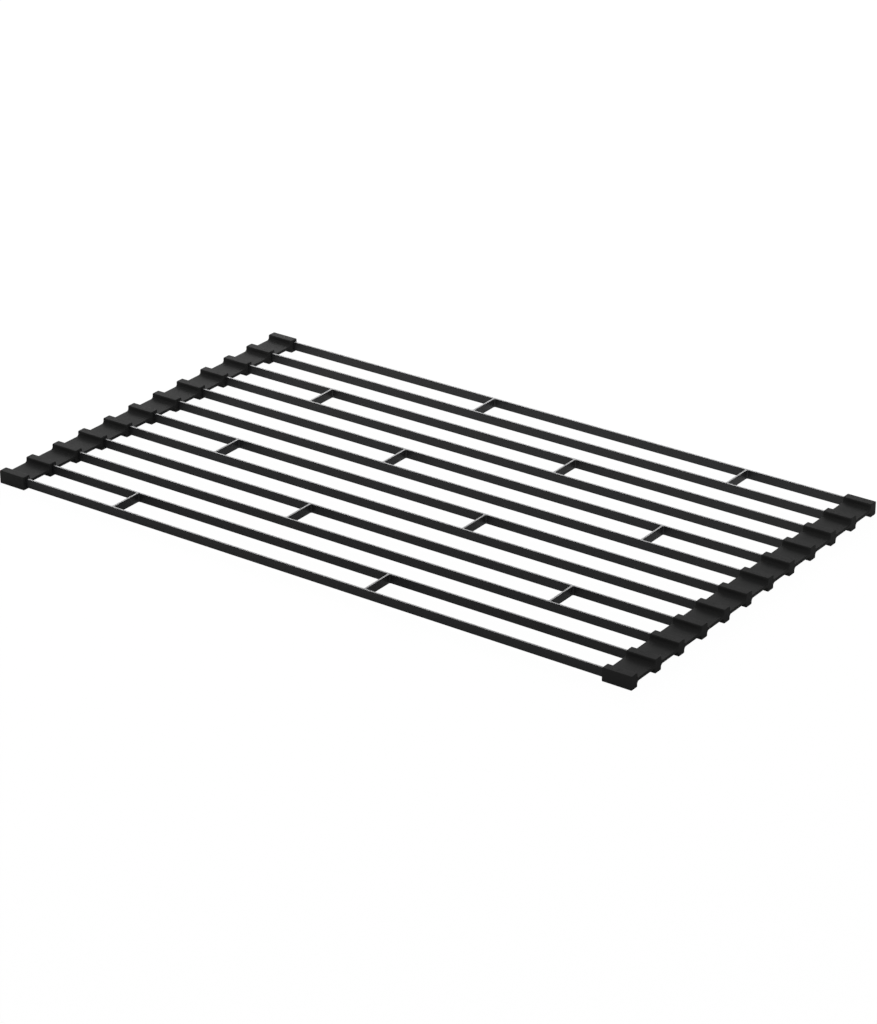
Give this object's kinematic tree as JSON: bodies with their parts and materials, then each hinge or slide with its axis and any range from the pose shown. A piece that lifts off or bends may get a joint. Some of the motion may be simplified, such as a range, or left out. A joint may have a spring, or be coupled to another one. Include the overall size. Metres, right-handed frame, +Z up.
{
  "type": "folding dish rack",
  "caption": "Flat folding dish rack: steel bars on edge, tied in pairs, their ends in two silicone strips whose thin webs bend so that the panels fold on each other.",
  "frame": {"origin": "on the surface that the rack lies on, under the middle of the open rack", "axes": "+X along the bars to the right, +Y from the front bar to the back one, +Z up"},
  "size_m": [0.475, 0.2814, 0.009],
  "materials": {
    "coated_steel": "satin black powder coat",
    "black_silicone": "matt black silicone rubber"
  },
  "bodies": {
    "panel_1": {"bar_01": "coated_steel", "bar_02": "coated_steel", "tie_1_left": "coated_steel", "tie_1_right": "coated_steel", "sleeve_1_left": "black_silicone", "sleeve_1_right": "black_silicone"},
    "link_1": {"web_1_left": "black_silicone", "web_1_right": "black_silicone"},
    "panel_2": {"bar_03": "coated_steel", "bar_04": "coated_steel", "tie_2_left": "coated_steel", "tie_2_right": "coated_steel", "sleeve_2_left": "black_silicone", "sleeve_2_right": "black_silicone"},
    "link_2": {"web_2_left": "black_silicone", "web_2_right": "black_silicone"},
    "panel_3": {"bar_05": "coated_steel", "bar_06": "coated_steel", "tie_3_left": "coated_steel", "tie_3_right": "coated_steel", "sleeve_3_left": "black_silicone", "sleeve_3_right": "black_silicone"},
    "link_3": {"web_3_left": "black_silicone", "web_3_right": "black_silicone"},
    "panel_4": {"bar_07": "coated_steel", "bar_08": "coated_steel", "tie_4_left": "coated_steel", "tie_4_right": "coated_steel", "sleeve_4_left": "black_silicone", "sleeve_4_right": "black_silicone"},
    "link_4": {"web_4_left": "black_silicone", "web_4_right": "black_silicone"},
    "panel_5": {"bar_09": "coated_steel", "bar_10": "coated_steel", "tie_5_left": "coated_steel", "tie_5_right": "coated_steel", "sleeve_5_left": "black_silicone", "sleeve_5_right": "black_silicone"},
    "link_5": {"web_5_left": "black_silicone", "web_5_right": "black_silicone"},
    "panel_6": {"bar_11": "coated_steel", "bar_12": "coated_steel", "tie_6_left": "coated_steel", "tie_6_right": "coated_steel", "sleeve_6_left": "black_silicone", "sleeve_6_right": "black_silicone"}
  },
  "joints": [
    {"name": "fold_1", "type": "hinge", "parent": "panel_1", "child": "link_1", "pos_m": [0, -0.1062, 0.0045], "axis": [1, 0, 0], "range_deg": [-90, 90]},
    {"name": "fold_1_far", "type": "hinge", "parent": "link_1", "child": "panel_2", "pos_m": [0, -0.0938, 0.0045], "axis": [1, 0, 0], "range_deg": [-90, 90]},
    {"name": "fold_2", "type": "hinge", "parent": "panel_2", "child": "link_2", "pos_m": [0, -0.0562, 0.0045], "axis": [-1, 0, 0], "range_deg": [-90, 90]},
    {"name": "fold_2_far", "type": "hinge", "parent": "link_2", "child": "panel_3", "pos_m": [0, -0.0438, 0.0045], "axis": [-1, 0, 0], "range_deg": [-90, 90]},
    {"name": "fold_3", "type": "hinge", "parent": "panel_3", "child": "link_3", "pos_m": [0, -0.0062, 0.0045], "axis": [1, 0, 0], "range_deg": [-90, 90]},
    {"name": "fold_3_far", "type": "hinge", "parent": "link_3", "child": "panel_4", "pos_m": [0, 0.0062, 0.0045], "axis": [1, 0, 0], "range_deg": [-90, 90]},
    {"name": "fold_4", "type": "hinge", "parent": "panel_4", "child": "link_4", "pos_m": [0, 0.0438, 0.0045], "axis": [-1, 0, 0], "range_deg": [-90, 90]},
    {"name": "fold_4_far", "type": "hinge", "parent": "link_4", "child": "panel_5", "pos_m": [0, 0.0562, 0.0045], "axis": [-1, 0, 0], "range_deg": [-90, 90]},
    {"name": "fold_5", "type": "hinge", "parent": "panel_5", "child": "link_5", "pos_m": [0, 0.0938, 0.0045], "axis": [1, 0, 0], "range_deg": [-90, 90]},
    {"name": "fold_5_far", "type": "hinge", "parent": "link_5", "child": "panel_6", "pos_m": [0, 0.1062, 0.0045], "axis": [1, 0, 0], "range_deg": [-90, 90]}
  ],
  "couplings": [
    {"joint": "fold_1_far", "follows": "fold_1", "ratio": 1},
    {"joint": "fold_2_far", "follows": "fold_2", "ratio": 1},
    {"joint": "fold_3_far", "follows": "fold_3", "ratio": 1},
    {"joint": "fold_4_far", "follows": "fold_4", "ratio": 1},
    {"joint": "fold_5_far", "follows": "fold_5", "ratio": 1}
  ]
}
